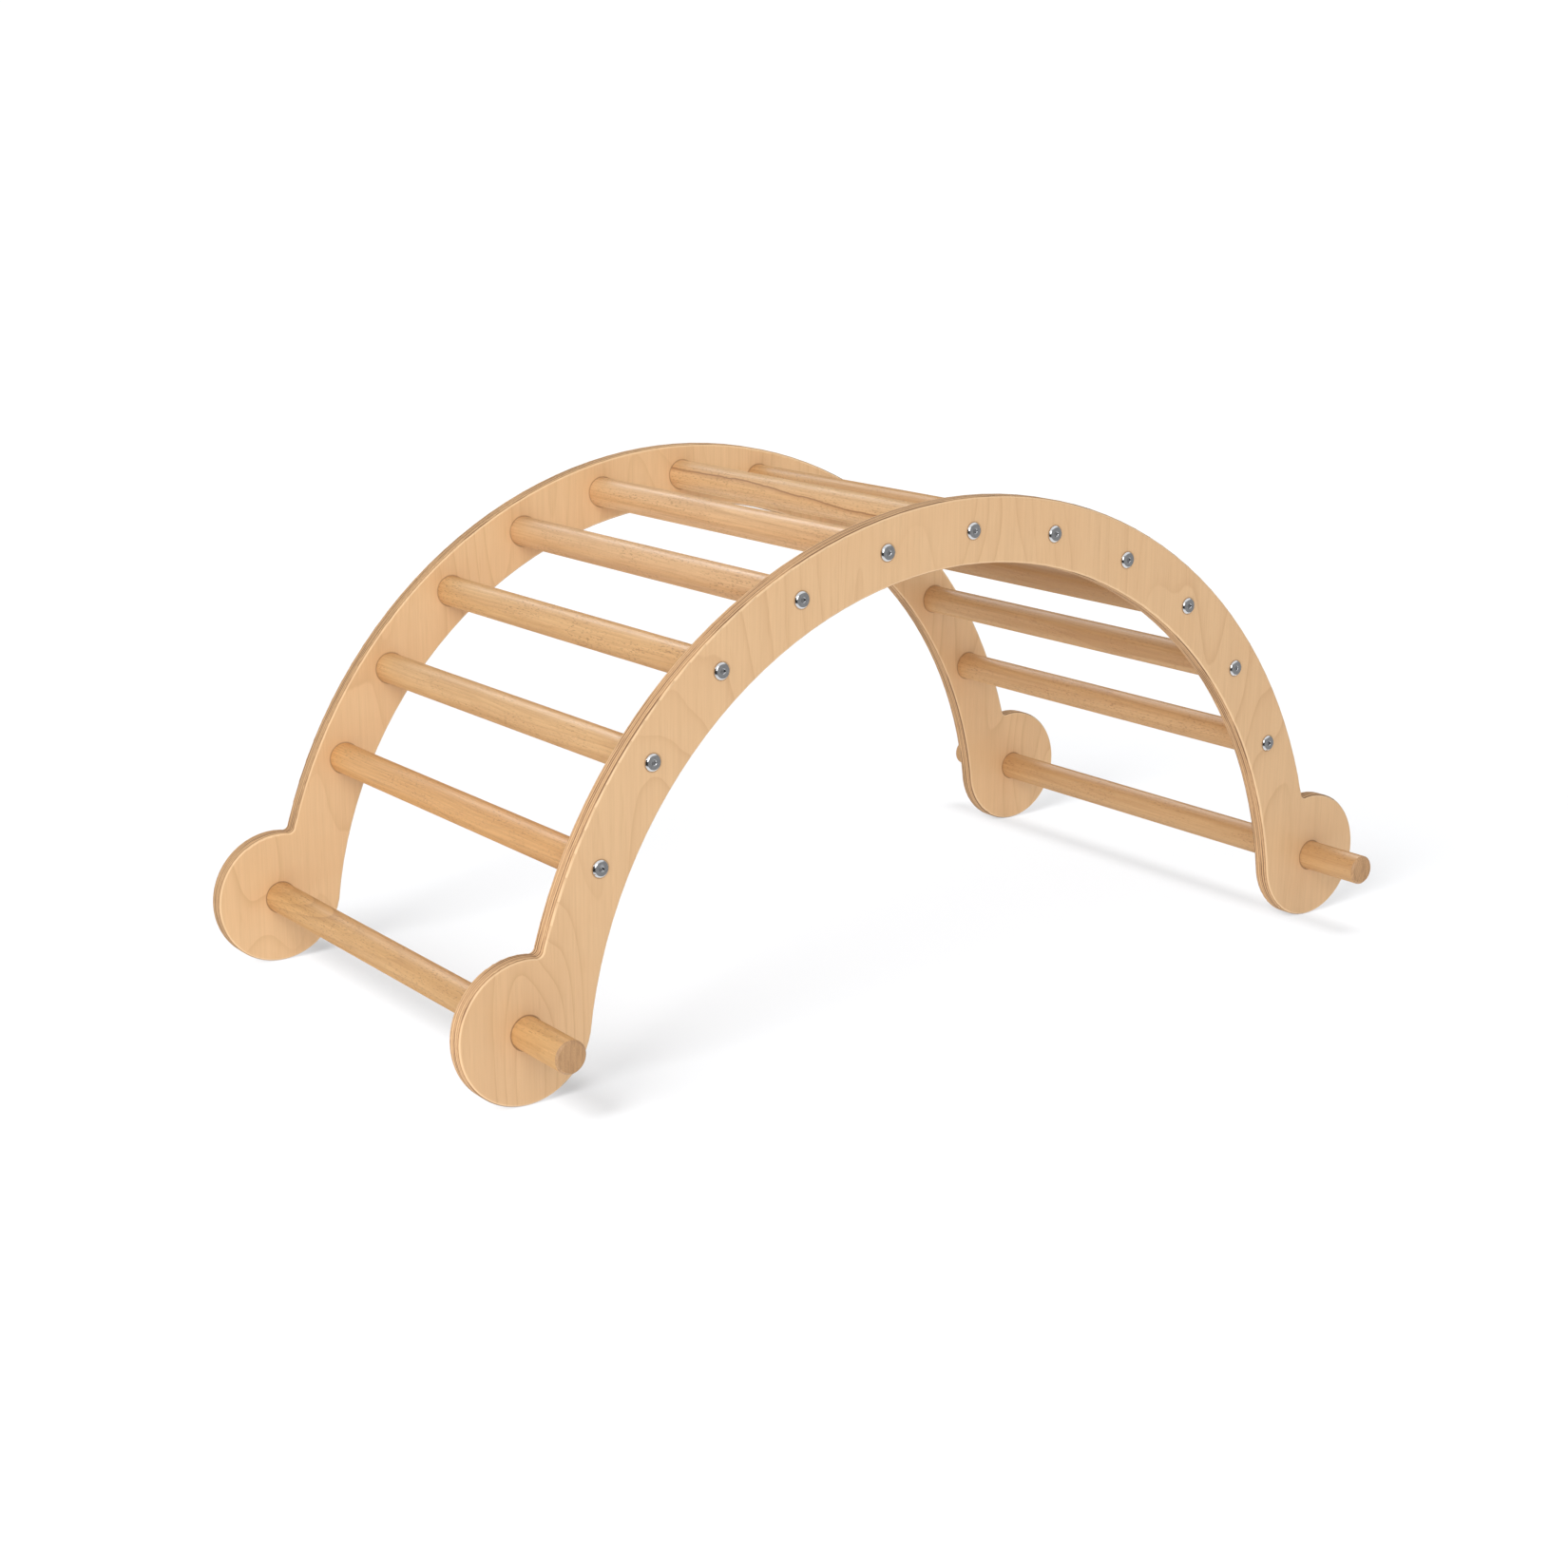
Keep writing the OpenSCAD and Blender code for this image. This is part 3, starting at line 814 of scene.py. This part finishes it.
# The arch is lit from the front and the left. Fills reach the rear panel and the
# left-hand rods, and a low sun in the panels' plane picks out the cut edge.
add_lamp("key_softbox", "AREA", (-0.45, -0.80, 0.40), 14.5, not_floor, distance=2.6, size=1.2)
add_sun("left_window", (-0.86, -0.10, 0.50), 0.47, 18, not_floor)
add_sun("rear_fill", (-0.50, -0.60, 0.60), 0.84, 40, rear_only, color=(0.97, 1.0, 0.93))
add_sun("edge_light", (-1.0, 0.0, 0.12), 1.4, 2, front_only)
add_sun("back_window", (0.32, 0.78, 0.53), 0.32, 25, glossy_rods)
add_sun("rung_fill", (-0.55, -0.55, 0.10), 0.50, 40, left_rods)
# The floor has suns of its own, one for each shadow that the photograph shows.
add_sun("left_shadow", (-1.80, -0.65, 1.0), 11.0, 31, floor_only, outline)
add_sun("left_bar_shadow", (-0.79, -0.30, 1.0), 5.8, 18, floor_only, left_bar)
add_sun("right_bar_shadow", (0.20, 0.0, 1.0), 3.7, 28, floor_only, right_bar)


# ---------------------------------------------------------------- camera

# The camera stands where the photograph was taken from. The bearing turns from
# +Y towards +X, and the angles are in degrees.
CAMERA_PLACE = (-1.566242, -2.091597, 0.837946)
BEARING, TILT, ROLL = 36.242, -14.366, 0.426
LENS_MM, SENSOR_MM = 57.626, 36

lens = bpy.data.cameras.new("photo_camera")
lens.sensor_width = SENSOR_MM
lens.lens = LENS_MM
camera = bpy.data.objects.new("photo_camera", lens)
bpy.context.scene.collection.objects.link(camera)
bearing, tilt, roll = (math.radians(angle) for angle in (BEARING, TILT, ROLL))
look = Vector((math.sin(bearing) * math.cos(tilt), math.cos(bearing) * math.cos(tilt),
               math.sin(tilt)))
level = look.cross(Vector((0, 0, 1))).normalized()
upward = level.cross(look)
side_way = level * math.cos(roll) + upward * math.sin(roll)
up_way = upward * math.cos(roll) - level * math.sin(roll)
turned = Matrix((side_way, up_way, -look)).transposed()
camera.matrix_world = Matrix.Translation(CAMERA_PLACE) @ turned.to_4x4()
bpy.context.scene.camera = camera
bpy.context.scene.view_settings.view_transform = "Standard"
